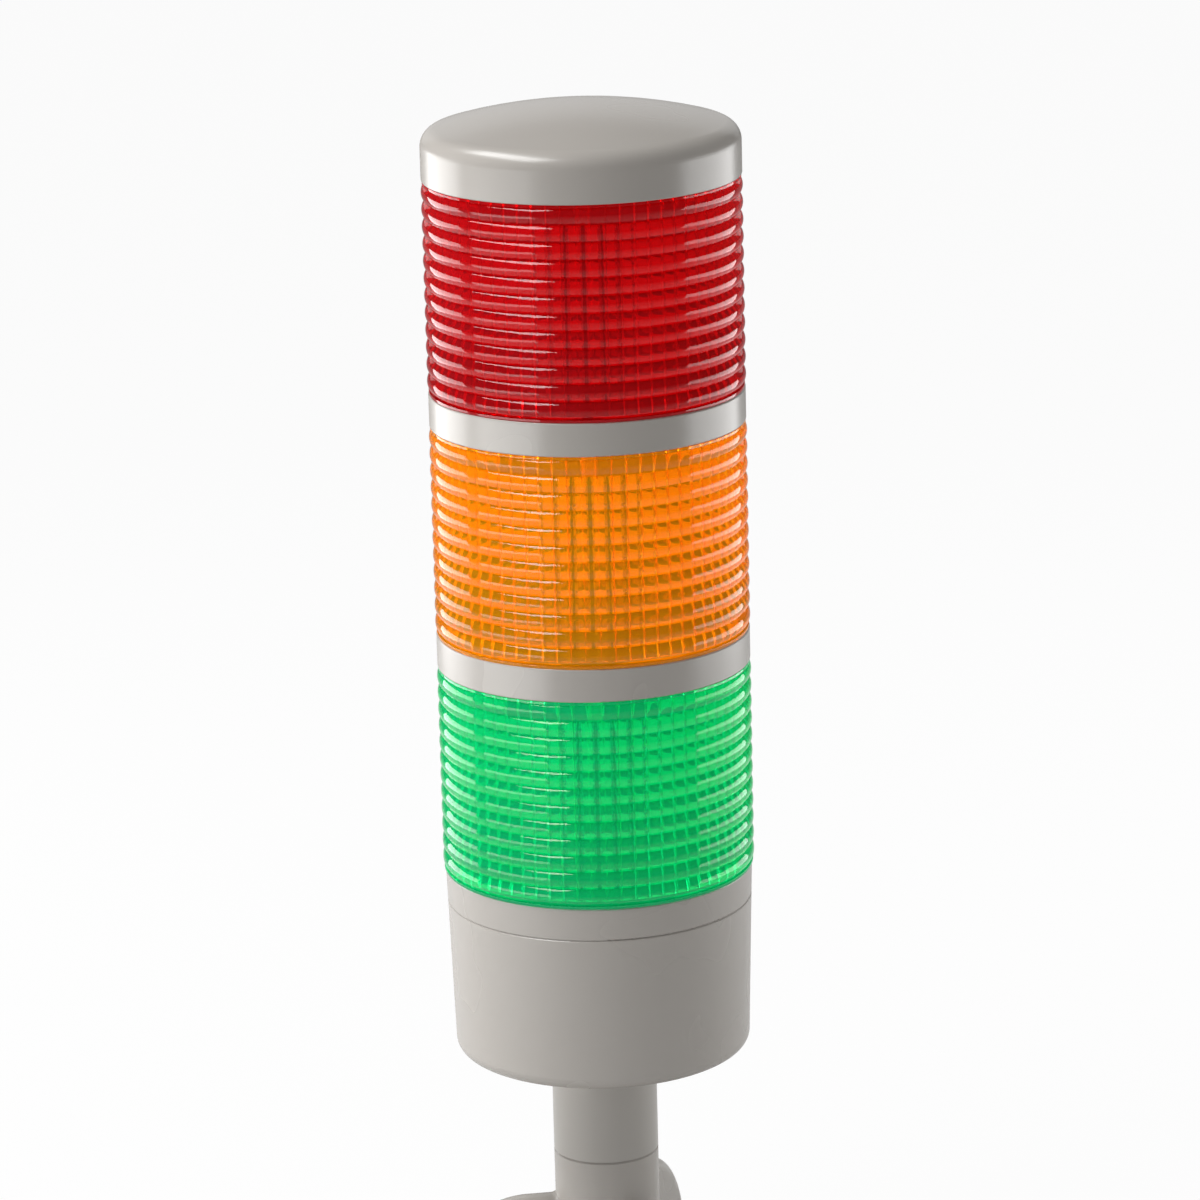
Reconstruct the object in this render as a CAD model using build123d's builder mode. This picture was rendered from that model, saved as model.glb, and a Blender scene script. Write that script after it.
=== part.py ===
from build123d import *
import os
from math import cos, pi, radians, sin, sqrt

# Three-tier stack light on a short stand pipe. Millimetres and degrees, +Z up the axis.
# The origin is the centre of the foot's flat underside. The front of the lamp faces -Y.

# Outer radius of the tower at the crests of its lens beads
tower_radius = 25.0

# Lens
bead_count = 12
bead_pitch = 2.73
bead_depth = 0.65
lens_top_lip = 0.45
lens_bottom_lip = 0.49
lip_inset = 0.2
lens_wall = 2.05
flute_count = 64
flute_depth = 0.5
flute_inset = 0.15
plain_band_height = 1.0
tongue_width = 1.0
tongue_depth = 1.2

# Bayonet between each tier and what it stands on, which clears the flutes of a lens
lug_count = 3
lug_angle = 16.0
lug_height = 1.4
lug_reach = 1.2
unlock_turn = 20.0
ledge_drop = 0.3
ledge_thickness = 1.2
ledge_overhang_angle = 2.7
stop_angle = 3.0
turn_margin = 0.7
bayonet_clearance = 0.4
lug_slide_gap = 0.15
lug_end_gap = 0.25
socket_extra_depth = 0.4
socket_wall = 1.85
spigot_wall = 1.3

# Tier ring that carries a lens and its board
ring_height = 5.3
ring_inset = 0.1
ring_edge_radius = 0.25
ring_web_thickness = 1.4
board_recess = 0.7
board_opening_radius = 10.5
seal_width = 1.2
seal_height = 1.0
fit_gap = 0.05

# Circuit boards, light emitters and contacts
board_thickness = 1.6
board_edge_gap = 0.15
tongue_gap = 0.1
led_board_width = 16.0
led_size = 5.0
led_height = 1.6
led_bevel = 0.4
led_rows = 4
led_end_distance = 4.8
led_column_pitch = 8.0
contact_disc_radius = 9.5
contact_disc_thickness = 1.2
contact_disc_drop = 1.0
contact_count = 4
contact_inner_radius = 2.0
contact_track_pitch = 1.8
contact_strip_width = 1.6
contact_strip_thickness = 0.3
contact_pad_length = 2.4
contact_tip_length = 1.0
contact_rest_gap = 0.05
small_screw_count = 3
small_screw_edge_distance = 4.35
small_screw_radius = 1.0
small_screw_head_radius = 1.9
small_screw_head_height = 1.2
small_screw_length = 1.3
screw_slot_width = 0.5
screw_slot_depth = 0.5

# Top cap
cap_inset = 0.05
cap_side_height = 5.2
cap_shoulder_radius = 3.0
cap_dome_radius = 83.4
cap_wall = 1.8
cap_rim_thickness = 2.4

# Base housing, tapered towards its rounded lower edge
housing_top_inset = 0.54
housing_draft = 0.75
housing_height = 25.4
housing_edge_radius = 2.0
housing_inner_edge_radius = 1.0
housing_floor = 2.2
housing_wall = 1.9
seam_chamfer = 0.2
pole_socket_depth = 4.0
pole_socket_wall = 2.4
pole_web = 3.0
post_edge_distance = 3.0
post_radius = 2.8
post_count = 3

# Wiring board and terminal block in the housing
wiring_board_gap = 0.7
wiring_board_drop = 6.0
wiring_screw_radius = 1.4
wiring_screw_head_radius = 2.5
wiring_screw_head_height = 1.7
wiring_screw_length = 8.0
pillar_radius = 5.0
terminal_count = 5
terminal_post_gap = 3.1
terminal_depth = 7.0
terminal_height = 5.5
terminal_edge_gap = 0.4
terminal_entry_wall = 1.3
terminal_entry_depth = 4.0
terminal_entry_height = 2.7
terminal_well_wall = 0.9
terminal_well_depth = 2.2
terminal_screw_height = 1.3

# Stand pipe and the hollow bolt that clamps it to the housing
pole_radius = 8.5
pole_wall = 1.5
pole_exposed = 18.0
bolt_wall = 1.95
bolt_grip = 10.0
bolt_head_reach = 1.55
bolt_head_height = 4.0
washer_rim = 1.9
washer_thickness = 1.0

# Foot with its neck, three gussets and flange
foot_height = 30.0
foot_spigot_length = 9.0
neck_chamfer = 0.4
flange_radius = 34.0
flange_thickness = 4.0
flange_edge_radius = 1.4
gusset_count = 3
gusset_first_angle = 68.0
gusset_width = 5.3
gusset_crest_flat = 0.9
gusset_drop = 8.0
gusset_shelf = 4.5
gusset_toe_inset = 4.5
gusset_root_radius = 1.2
foot_hole_radius = 2.75
foot_hole_edge_distance = 8.0

# Values that follow from the sizes above
lens_height = lens_top_lip + bead_count * bead_pitch + lens_bottom_lip
tier_height = ring_height + lens_height
lens_root_radius = tower_radius - bead_depth
lens_lip_radius = tower_radius - lip_inset
lens_bore_radius = lens_root_radius - lens_wall
flute_valley_radius = lens_bore_radius - flute_inset
flute_crest_radius = flute_valley_radius - flute_depth
flute_half_angle = pi / flute_count
flute_centre_radius = (flute_valley_radius**2 - flute_crest_radius**2) / (
    2 * (flute_valley_radius * cos(flute_half_angle) - flute_crest_radius)
)
flute_radius = flute_centre_radius - flute_crest_radius
socket_radius = lens_root_radius - socket_wall
lug_radius = flute_crest_radius - lug_end_gap
spigot_radius = lug_radius - lug_reach
ledge_inner_radius = spigot_radius + bayonet_clearance
lug_top = ledge_drop + ledge_thickness + lug_slide_gap
spigot_depth = lug_top + lug_height
socket_depth = spigot_depth + socket_extra_depth
ring_radius = tower_radius - ring_inset
cap_radius = tower_radius - cap_inset
seal_middle_radius = (socket_radius + lens_root_radius) / 2
groove_inner_radius = lens_bore_radius - tongue_gap
groove_outer_radius = lens_bore_radius + tongue_width + tongue_gap
board_radius = groove_inner_radius - 3 * board_edge_gap
small_screw_circle_radius = board_radius - small_screw_edge_distance
board_seat = ring_height - board_recess
contact_strip_base = board_seat - contact_strip_thickness / 2
led_board_height = tier_height - contact_disc_drop - contact_disc_thickness - board_seat - board_thickness
led_row_pitch = (led_board_height - 2 * led_end_distance) / (led_rows - 1)
housing_top_radius = tower_radius - housing_top_inset
housing_bottom_radius = housing_top_radius - housing_draft
housing_taper = housing_draft / housing_height
wiring_board_radius = ledge_inner_radius - wiring_board_gap
post_circle_radius = wiring_board_radius - post_edge_distance
terminal_length = 2 * (post_circle_radius * sin(pi / post_count) - post_radius - terminal_post_gap)
terminal_pitch = terminal_length / terminal_count
terminal_entry = terminal_pitch - terminal_entry_wall
terminal_well_radius = (terminal_pitch - terminal_well_wall) / 2
terminal_back = sqrt((wiring_board_radius - terminal_edge_gap) ** 2 - (terminal_length / 2) ** 2)
terminal_front = terminal_back - terminal_depth
foot_top = foot_height
housing_bottom = foot_top + pole_exposed
housing_top = housing_bottom + housing_height
pole_bore_radius = pole_radius - pole_wall
bolt_shank_radius = pole_bore_radius - fit_gap
bolt_bore_radius = bolt_shank_radius - bolt_wall
bolt_head_radius = bolt_shank_radius + bolt_head_reach
washer_radius = pole_radius + washer_rim
boss_top = housing_bottom + pole_socket_depth + pole_web
wiring_board_top = housing_top - wiring_board_drop
wiring_board_bottom = wiring_board_top - board_thickness
gusset_crest_radius = (gusset_width - gusset_crest_flat) / 2
foot_hole_circle_radius = flange_radius - foot_hole_edge_distance
first_hole_angle = gusset_first_angle + 180 / gusset_count

red_level = housing_top + 2 * tier_height
amber_level = housing_top + tier_height
green_level = housing_top
cap_level = housing_top + 3 * tier_height


def radial_plane(angle):
    """Upright plane through the axis: local X points outwards at the angle, local Y points up."""
    a = radians(angle)
    return Plane(origin=(0, 0, 0), x_dir=(cos(a), sin(a), 0), z_dir=(sin(a), -cos(a), 0))


def add_sector(inner, outer, low, high, start, sweep_angle):
    """A block of ring between two radii and two heights, from the start angle anticlockwise."""
    with BuildSketch(radial_plane(start)) as section:
        with Locations(((inner + outer) / 2, (low + high) / 2)):
            Rectangle(outer - inner, high - low)
    revolve(section.sketch, axis=Axis.Z, revolution_arc=sweep_angle)


def add_bayonet_spigot(level, web_height):
    """The ring that drops into the socket below, with its lugs, under a web at the given height."""
    with BuildSketch(Plane.XY.offset(level - spigot_depth)) as wall:
        Circle(spigot_radius)
        Circle(spigot_radius - spigot_wall, mode=Mode.SUBTRACT)
    extrude(wall.sketch, amount=spigot_depth + web_height)
    for i in range(lug_count):
        start = i * 360 / lug_count - lug_angle / 2
        add_sector(
            spigot_radius - spigot_wall / 2,
            lug_radius,
            level - spigot_depth,
            level - lug_top,
            start,
            lug_angle,
        )


def add_bayonet_socket(level):
    """Ledges that the lugs turn under, each with a stop for the locked and for the open position."""
    bottom = level - spigot_depth
    inner = ledge_inner_radius
    outer = socket_radius + socket_wall / 4
    for i in range(lug_count):
        middle = i * 360 / lug_count
        locked_stop = middle - lug_angle / 2 - turn_margin - stop_angle
        open_stop = middle + unlock_turn + lug_angle / 2 + turn_margin
        ledge_end = middle + lug_angle / 2 + ledge_overhang_angle
        ledge_low = level - ledge_drop - ledge_thickness
        add_sector(inner, outer, ledge_low, level - ledge_drop, locked_stop, ledge_end - locked_stop)
        add_sector(inner, outer, bottom, level - ledge_drop, locked_stop, stop_angle)
        add_sector(inner, outer, bottom, level - ledge_drop, open_stop, stop_angle)


def cut_seal_groove(level):
    """Groove in a rim's underside for its flat seal."""
    with BuildSketch(Plane.XY.offset(level)) as groove:
        Circle(seal_middle_radius + seal_width / 2 + fit_gap)
        Circle(seal_middle_radius - seal_width / 2 - fit_gap, mode=Mode.SUBTRACT)
    extrude(groove.sketch, amount=seal_height, mode=Mode.SUBTRACT)


def save(part, name):
    part.label = name
    export_step(part, f"parts/{name}.step")


def make_lens(colour, level):
    """Lens with ring beads outside, upright flutes inside and bayonet ledges in its top."""
    bottom = level + ring_height
    top = level + tier_height
    with BuildPart() as lens:
        with BuildSketch(Plane.XZ):
            with BuildLine():
                Polyline(
                    (lens_root_radius, bottom + lens_bottom_lip),
                    (lens_lip_radius, bottom + lens_bottom_lip),
                    (lens_lip_radius, bottom),
                    (0, bottom),
                    (0, top),
                    (lens_lip_radius, top),
                    (lens_lip_radius, top - lens_top_lip),
                    (lens_root_radius, top - lens_top_lip),
                )
                for i in range(bead_count):
                    low = bottom + lens_bottom_lip + i * bead_pitch
                    ThreePointArc(
                        (lens_root_radius, low),
                        (tower_radius, low + bead_pitch / 2),
                        (lens_root_radius, low + bead_pitch),
                    )
            make_face()
        revolve(axis=Axis.Z)

        # Tongue that seats in the ring, and the plain bore above it
        with BuildSketch(Plane.XY.offset(bottom - tongue_depth)):
            Circle(lens_bore_radius + tongue_width)
        extrude(amount=tongue_depth)
        with BuildSketch(Plane.XY.offset(bottom - tongue_depth)):
            Circle(lens_bore_radius)
        extrude(amount=tongue_depth + plain_band_height, mode=Mode.SUBTRACT)

        # Fluted bore
        with BuildSketch(Plane.XY.offset(bottom + plain_band_height)):
            Circle(flute_centre_radius)
            with PolarLocations(flute_centre_radius, flute_count):
                Circle(flute_radius, mode=Mode.SUBTRACT)
        extrude(amount=lens_height - plain_band_height, mode=Mode.SUBTRACT)
        add_bayonet_socket(top)
    save(lens.part, f"{colour}_lens")


def make_ring(colour, level, top_radius, bottom_radius):
    """Grey ring under a lens: groove for the lens, seat for the board, spigot and seal groove."""
    with BuildPart() as ring:
        with BuildSketch(Plane.XZ):
            with BuildLine():
                Polyline(
                    (spigot_radius - spigot_wall / 2, level),
                    (bottom_radius, level),
                    (top_radius, level + ring_height),
                    (groove_outer_radius, level + ring_height),
                    (groove_outer_radius, level + ring_height - tongue_depth - tongue_gap),
                    (groove_inner_radius, level + ring_height - tongue_depth - tongue_gap),
                    (groove_inner_radius, level + ring_height),
                    (board_radius + board_edge_gap, level + ring_height),
                    (board_radius + board_edge_gap, level + board_seat),
                    (board_opening_radius, level + board_seat),
                    (board_opening_radius, level + board_seat - ring_web_thickness),
                    (spigot_radius - spigot_wall / 2, level + board_seat - ring_web_thickness),
                    close=True,
                )
            make_face()
        revolve(axis=Axis.Z)
        rims = ring.edges().filter_by(GeomType.CIRCLE).group_by(SortBy.RADIUS)
        outer_rims = [edge for group in rims[-2:] for edge in group if edge.radius >= bottom_radius]
        fillet(outer_rims, radius=ring_edge_radius)
        add_bayonet_spigot(level, board_seat - ring_web_thickness / 2)
        cut_seal_groove(level)
        with Locations(Plane.XY.offset(level + board_seat)):
            with PolarLocations(small_screw_circle_radius, small_screw_count):
                Hole(small_screw_radius, depth=ring_web_thickness)
    save(ring.part, f"{colour}_ring")


def make_seal(name, level):
    """Flat rubber ring in the groove of a rim."""
    with BuildPart() as seal:
        with BuildSketch(Plane.XY.offset(level)):
            Circle(seal_middle_radius + seal_width / 2)
            Circle(seal_middle_radius - seal_width / 2, mode=Mode.SUBTRACT)
        extrude(amount=seal_height)
    save(seal.part, name)


def make_base_board(colour, level):
    """Round circuit board on the ring's seat."""
    with BuildPart() as board:
        with BuildSketch(Plane.XY.offset(level + board_seat)):
            Circle(board_radius)
            with PolarLocations(small_screw_circle_radius, small_screw_count):
                Circle(small_screw_radius + fit_gap, mode=Mode.SUBTRACT)
        extrude(amount=board_thickness)
    save(board.part, f"{colour}_base_board")


def make_slotted_screws(name, circle, count, start, under_head, shank, head, length, head_height):
    """Upright slotted screws on a circle, heads up, as one group of separate solids."""
    with BuildPart() as screws:
        with BuildSketch(Plane.XY.offset(under_head)):
            with PolarLocations(circle, count, start_angle=start):
                Circle(head)
        extrude(amount=head_height)
        with BuildSketch(Plane.XY.offset(under_head)):
            with PolarLocations(circle, count, start_angle=start):
                Circle(shank)
        extrude(amount=-length)
        with BuildSketch(Plane.XY.offset(under_head + head_height)):
            with PolarLocations(circle, count, start_angle=start):
                Rectangle(2 * head, screw_slot_width)
        extrude(amount=-screw_slot_depth, mode=Mode.SUBTRACT)
    save(screws.part, name)


def make_led_board(colour, level):
    """Upright circuit board, edge on to the front, that lights the lens to both sides."""
    foot_of_board = level + board_seat + board_thickness
    with BuildPart() as board:
        with BuildSketch(Plane.XY.offset(foot_of_board)):
            Rectangle(board_thickness, led_board_width)
        extrude(amount=led_board_height)
    save(board.part, f"{colour}_led_board")


def make_leds(colour, level):
    """Light emitters in rows on both faces of the upright board."""
    middle = level + board_seat + board_thickness + led_board_height / 2
    with BuildPart() as leds:
        for side in (1, -1):
            face = Plane(
                origin=(side * board_thickness / 2, 0, middle), x_dir=(0, side, 0), z_dir=(side, 0, 0)
            )
            with BuildSketch(face):
                with GridLocations(led_column_pitch, led_row_pitch, 2, led_rows):
                    Rectangle(led_size, led_size)
            extrude(amount=led_height)
        outer_faces = leds.faces().group_by(Axis.X)
        chamfer((outer_faces[0] + outer_faces[-1]).edges(), length=led_bevel)
    save(leds.part, f"{colour}_leds")


def make_contact_disc(name, top):
    """Small round board whose ring tracks meet the contact strips of the tier above."""
    with BuildPart() as disc:
        with BuildSketch(Plane.XY.offset(top - contact_disc_thickness)):
            Circle(contact_disc_radius)
        extrude(amount=contact_disc_thickness)
    save(disc.part, name)


def make_contact_strips(colour, level):
    """Bent strips under a tier's board, each on its own track of the disc below."""
    tip = level - contact_disc_drop + contact_rest_gap + contact_strip_thickness / 2
    root = level + contact_strip_base
    with BuildPart() as strips:
        for i in range(contact_count):
            track = contact_inner_radius + i * contact_track_pitch
            slope_end = track + contact_tip_length / 2
            slope_start = slope_end - contact_pad_length
            with BuildSketch(radial_plane(45 + i * 360 / contact_count)):
                with BuildLine():
                    Polyline(
                        (track - contact_tip_length / 2, tip),
                        (slope_end, tip),
                        (slope_start, root),
                        (slope_start + contact_pad_length, root),
                    )
                trace(line_width=contact_strip_thickness)
            extrude(amount=contact_strip_width / 2, both=True)
    save(strips.part, f"{colour}_contact_strips")


def make_tier(colour, level, top_radius, bottom_radius):
    """Every piece of one light tier, from the plane its ring stands on."""
    make_lens(colour, level)
    make_ring(colour, level, top_radius, bottom_radius)
    make_seal(f"{colour}_seal", level)
    make_base_board(colour, level)
    make_slotted_screws(
        f"{colour}_board_screws",
        small_screw_circle_radius,
        small_screw_count,
        0,
        level + board_seat + board_thickness,
        small_screw_radius - fit_gap,
        small_screw_head_radius,
        board_thickness + small_screw_length,
        small_screw_head_height,
    )
    make_led_board(colour, level)
    make_leds(colour, level)
    make_contact_disc(f"{colour}_contact_disc", level + tier_height - contact_disc_drop)
    make_contact_strips(colour, level)


def dome_section(side_radius, side_base, side_height, shoulder, dome, axis_base):
    """Half outline of a domed cap: straight side, rounded shoulder and shallow crown."""
    shoulder_centre = side_radius - shoulder
    crown_rise = sqrt((dome - shoulder) ** 2 - shoulder_centre**2)
    crown_centre = side_height - crown_rise
    crown_top = crown_centre + dome
    blend_radius = shoulder_centre * dome / (dome - shoulder)
    blend_height = crown_centre + crown_rise * dome / (dome - shoulder)
    Line((side_radius, side_base), (side_radius, side_height))
    TangentArc((side_radius, side_height), (blend_radius, blend_height), tangent=(0, 1))
    RadiusArc((blend_radius, blend_height), (0, crown_top), -dome)
    Line((0, crown_top), (0, axis_base))
    Line((0, axis_base), (side_radius, side_base))


def make_top_cap():
    """Domed cap with a rim, seal groove and bayonet spigot underneath."""
    with BuildPart() as cap:
        with BuildSketch(Plane.XZ):
            with BuildLine():
                dome_section(
                    cap_radius,
                    cap_level,
                    cap_level + cap_side_height,
                    cap_shoulder_radius,
                    cap_dome_radius,
                    cap_level,
                )
            make_face()
        revolve(axis=Axis.Z)
        fillet(cap.edges().group_by(Axis.Z)[0], radius=ring_edge_radius)
        with BuildSketch(Plane.XZ):
            with BuildLine():
                dome_section(
                    cap_radius - cap_wall,
                    cap_level + cap_rim_thickness,
                    cap_level + cap_side_height,
                    cap_shoulder_radius - cap_wall,
                    cap_dome_radius - cap_wall,
                    cap_level + cap_rim_thickness,
                )
            make_face()
        revolve(axis=Axis.Z, mode=Mode.SUBTRACT)
        with BuildSketch(Plane.XY.offset(cap_level)):
            Circle(spigot_radius - spigot_wall)
        extrude(amount=cap_rim_thickness, mode=Mode.SUBTRACT)
        add_bayonet_spigot(cap_level, cap_rim_thickness)
        cut_seal_groove(cap_level)
    save(cap.part, "top_cap")


def make_base_housing():
    """Tapered housing with the lowest bayonet socket, the pole socket and the board posts."""
    floor_top = housing_bottom + housing_floor
    with BuildPart() as housing:
        with BuildSketch(Plane.XZ):
            with BuildLine():
                Polyline(
                    (0, housing_bottom),
                    (housing_bottom_radius, housing_bottom),
                    (housing_top_radius, housing_top),
                    (0, housing_top),
                    close=True,
                )
            make_face()
        revolve(axis=Axis.Z)
        fillet(housing.edges().group_by(Axis.Z)[0], radius=housing_edge_radius)
        chamfer(housing.edges().group_by(Axis.Z)[-1], length=seam_chamfer)
        with BuildSketch(Plane.XZ):
            with BuildLine():
                Polyline(
                    (0, floor_top),
                    (housing_bottom_radius - housing_wall, floor_top),
                    (socket_radius, housing_top - socket_depth),
                    (socket_radius, housing_top),
                    (0, housing_top),
                    close=True,
                )
            make_face()
            fillet(
                vertices().filter_by_position(Axis.X, 1, tower_radius).sort_by(Axis.Y)[0],
                radius=housing_inner_edge_radius,
            )
        revolve(axis=Axis.Z, mode=Mode.SUBTRACT)
        add_bayonet_socket(housing_top)

        # Boss for the pole and posts for the wiring board
        with BuildSketch(Plane.XY.offset(floor_top)):
            Circle(pole_radius + pole_socket_wall)
        extrude(amount=boss_top - floor_top)
        with BuildSketch(Plane.XY.offset(floor_top)):
            with PolarLocations(post_circle_radius, post_count, start_angle=90):
                Circle(post_radius)
        extrude(amount=wiring_board_bottom - floor_top)
        with BuildSketch(Plane.XY.offset(housing_bottom)):
            Circle(pole_radius + fit_gap)
        extrude(amount=pole_socket_depth, mode=Mode.SUBTRACT)
        with BuildSketch(Plane.XY.offset(housing_bottom)):
            Circle(bolt_shank_radius + fit_gap)
        extrude(amount=boss_top - housing_bottom, mode=Mode.SUBTRACT)
        with Locations(Plane.XY.offset(wiring_board_bottom)):
            with PolarLocations(post_circle_radius, post_count, start_angle=90):
                Hole(wiring_screw_radius + fit_gap, depth=wiring_screw_length)
    save(housing.part, "base_housing")


def make_wiring_board():
    """Round board in the housing that carries the lowest contact disc and the terminals."""
    with BuildPart() as board:
        with BuildSketch(Plane.XY.offset(wiring_board_bottom)):
            Circle(wiring_board_radius)
            with PolarLocations(post_circle_radius, post_count, start_angle=90):
                Circle(wiring_screw_radius + fit_gap, mode=Mode.SUBTRACT)
        extrude(amount=board_thickness)
    save(board.part, "wiring_board")


def make_contact_pillar():
    """Short post that lifts the lowest contact disc to the reach of the green tier's strips."""
    pillar_height = wiring_board_drop - contact_disc_drop - contact_disc_thickness
    with BuildPart() as pillar:
        with BuildSketch(Plane.XY.offset(wiring_board_top)):
            RegularPolygon(pillar_radius, 6)
        extrude(amount=pillar_height)
    save(pillar.part, "contact_pillar")


def make_terminal_block():
    """Screw terminal block under the wiring board, wire entries towards the axis."""
    low = wiring_board_bottom - terminal_height
    entry_plane = Plane(origin=(0, -terminal_front, low), x_dir=(-1, 0, 0), z_dir=(0, 1, 0))
    with BuildPart() as block:
        with BuildSketch(Plane.XY.offset(low)):
            with Locations((0, -terminal_front - terminal_depth / 2)):
                Rectangle(terminal_length, terminal_depth)
        extrude(amount=terminal_height)
        with BuildSketch(entry_plane):
            with Locations((0, terminal_entry_height)):
                with GridLocations(terminal_pitch, 1, terminal_count, 1):
                    Rectangle(terminal_entry, terminal_entry)
        extrude(amount=-terminal_entry_depth, mode=Mode.SUBTRACT)
        with BuildSketch(Plane.XY.offset(low)):
            with Locations((0, -terminal_front - terminal_depth / 2)):
                with GridLocations(terminal_pitch, 1, terminal_count, 1):
                    Circle(terminal_well_radius)
        extrude(amount=terminal_well_depth, mode=Mode.SUBTRACT)
    save(block.part, "terminal_block")


def make_terminal_screws():
    """One slotted clamp screw in the well of each terminal, heads down."""
    seat = wiring_board_bottom - terminal_height + terminal_well_depth
    head = seat - terminal_screw_height
    row = (0, -terminal_front - terminal_depth / 2)
    with BuildPart() as screws:
        with BuildSketch(Plane.XY.offset(head)):
            with Locations(row):
                with GridLocations(terminal_pitch, 1, terminal_count, 1):
                    Circle(terminal_well_radius - 2 * fit_gap)
        extrude(amount=terminal_screw_height)
        with BuildSketch(Plane.XY.offset(head)):
            with Locations(row):
                with GridLocations(terminal_pitch, 1, terminal_count, 1):
                    Rectangle(2 * terminal_well_radius, screw_slot_width)
        extrude(amount=screw_slot_depth, mode=Mode.SUBTRACT)
    save(screws.part, "terminal_screws")


def make_clamp_washer():
    with BuildPart() as washer:
        with BuildSketch(Plane.XY.offset(boss_top)):
            Circle(washer_radius)
            Circle(bolt_shank_radius + fit_gap, mode=Mode.SUBTRACT)
        extrude(amount=washer_thickness)
    save(washer.part, "clamp_washer")


def make_hollow_bolt():
    """Hexagon bolt with a cable way through it, screwed down into the stand pipe."""
    under_head = boss_top + washer_thickness
    shank_end = housing_bottom + pole_socket_depth - bolt_grip
    with BuildPart() as bolt:
        with BuildSketch(Plane.XY.offset(under_head)):
            RegularPolygon(bolt_head_radius, 6, major_radius=False)
        extrude(amount=bolt_head_height)
        with BuildSketch(Plane.XY.offset(shank_end)):
            Circle(bolt_shank_radius)
        extrude(amount=under_head - shank_end)
        with BuildSketch(Plane.XY.offset(shank_end)):
            Circle(bolt_bore_radius)
        extrude(amount=under_head + bolt_head_height - shank_end, mode=Mode.SUBTRACT)
    save(bolt.part, "hollow_bolt")


def make_stand_pipe():
    with BuildPart() as pipe:
        with BuildSketch(Plane.XY.offset(foot_top)):
            Circle(pole_radius)
            Circle(pole_bore_radius, mode=Mode.SUBTRACT)
        extrude(amount=pole_exposed + pole_socket_depth)
    save(pipe.part, "stand_pipe")


def make_gusset():
    """One gusset along +X: root curve at the neck, level shelf, quarter ellipse, round crest."""
    gusset_top = foot_top - gusset_drop
    neck_side = sqrt(pole_radius**2 - (gusset_width / 2) ** 2)
    shelf_start = neck_side + gusset_root_radius
    shelf_end = pole_radius + gusset_shelf
    toe = flange_radius - gusset_toe_inset
    with BuildPart() as gusset:
        with BuildSketch(Plane.XZ):
            with BuildLine():
                RadiusArc(
                    (neck_side, gusset_top + gusset_root_radius),
                    (shelf_start, gusset_top),
                    -gusset_root_radius,
                )
                Line((shelf_start, gusset_top), (shelf_end, gusset_top))
                EllipticalCenterArc(
                    (shelf_end, flange_thickness),
                    toe - shelf_end,
                    gusset_top - flange_thickness,
                    arc_size=90,
                )
                Polyline(
                    (toe, flange_thickness),
                    (toe, flange_thickness / 2),
                    (0, flange_thickness / 2),
                    (0, gusset_top + gusset_root_radius),
                    (neck_side, gusset_top + gusset_root_radius),
                )
            make_face()
        extrude(amount=gusset_width / 2, both=True)
        sides = gusset.faces().sort_by(Axis.Y)
        outlines = sides[0].edges() + sides[-1].edges()
        curves = outlines.filter_by(GeomType.CIRCLE) + outlines.filter_by(GeomType.ELLIPSE)
        shelves = outlines.filter_by(GeomType.LINE).filter_by_position(
            Axis.Z, gusset_top - fit_gap, gusset_top + fit_gap
        )
        fillet(curves + shelves, radius=gusset_crest_radius)
    return gusset.part


def make_foot():
    """Moulded foot: spigot for the pipe, neck, three gussets and a screw flange."""
    gusset = make_gusset()
    with BuildPart() as foot:
        with BuildSketch(Plane.XY):
            Circle(flange_radius)
        extrude(amount=flange_thickness)
        fillet(foot.edges().group_by(Axis.Z)[-1], radius=flange_edge_radius)
        with BuildSketch(Plane.XY):
            Circle(pole_radius)
        extrude(amount=foot_top)
        chamfer(foot.edges().group_by(Axis.Z)[-1], length=neck_chamfer)
        with PolarLocations(0, gusset_count, start_angle=gusset_first_angle):
            add(gusset)
        with BuildSketch(Plane.XY.offset(foot_top)):
            Circle(pole_bore_radius - fit_gap)
        extrude(amount=foot_spigot_length)

        # Cable way and screw holes
        with BuildSketch(Plane.XY):
            Circle(bolt_bore_radius)
            with PolarLocations(foot_hole_circle_radius, gusset_count, start_angle=first_hole_angle):
                Circle(foot_hole_radius)
        extrude(amount=foot_top + foot_spigot_length, mode=Mode.SUBTRACT)
    save(foot.part, "foot")


os.makedirs("parts", exist_ok=True)

make_top_cap()
make_seal("cap_seal", cap_level)
make_tier("red", red_level, ring_radius, ring_radius)
make_tier("amber", amber_level, ring_radius, ring_radius)
make_tier("green", green_level, housing_top_radius + housing_taper * ring_height, housing_top_radius)
make_base_housing()
make_wiring_board()
make_slotted_screws(
    "wiring_board_screws",
    post_circle_radius,
    post_count,
    90,
    wiring_board_top,
    wiring_screw_radius,
    wiring_screw_head_radius,
    wiring_screw_length - board_edge_gap,
    wiring_screw_head_height,
)
make_contact_pillar()
make_contact_disc("base_contact_disc", housing_top - contact_disc_drop)
make_terminal_block()
make_terminal_screws()
make_clamp_washer()
make_hollow_bolt()
make_stand_pipe()
make_foot()
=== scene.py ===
"""Looks of a three-tier stack light: finishes, finer visible pieces, studio and camera."""

import logging
import math
from dataclasses import dataclass, field
from enum import Enum
from typing import Any, Sequence

import bmesh
import bpy
from mathutils import Matrix, Vector


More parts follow.
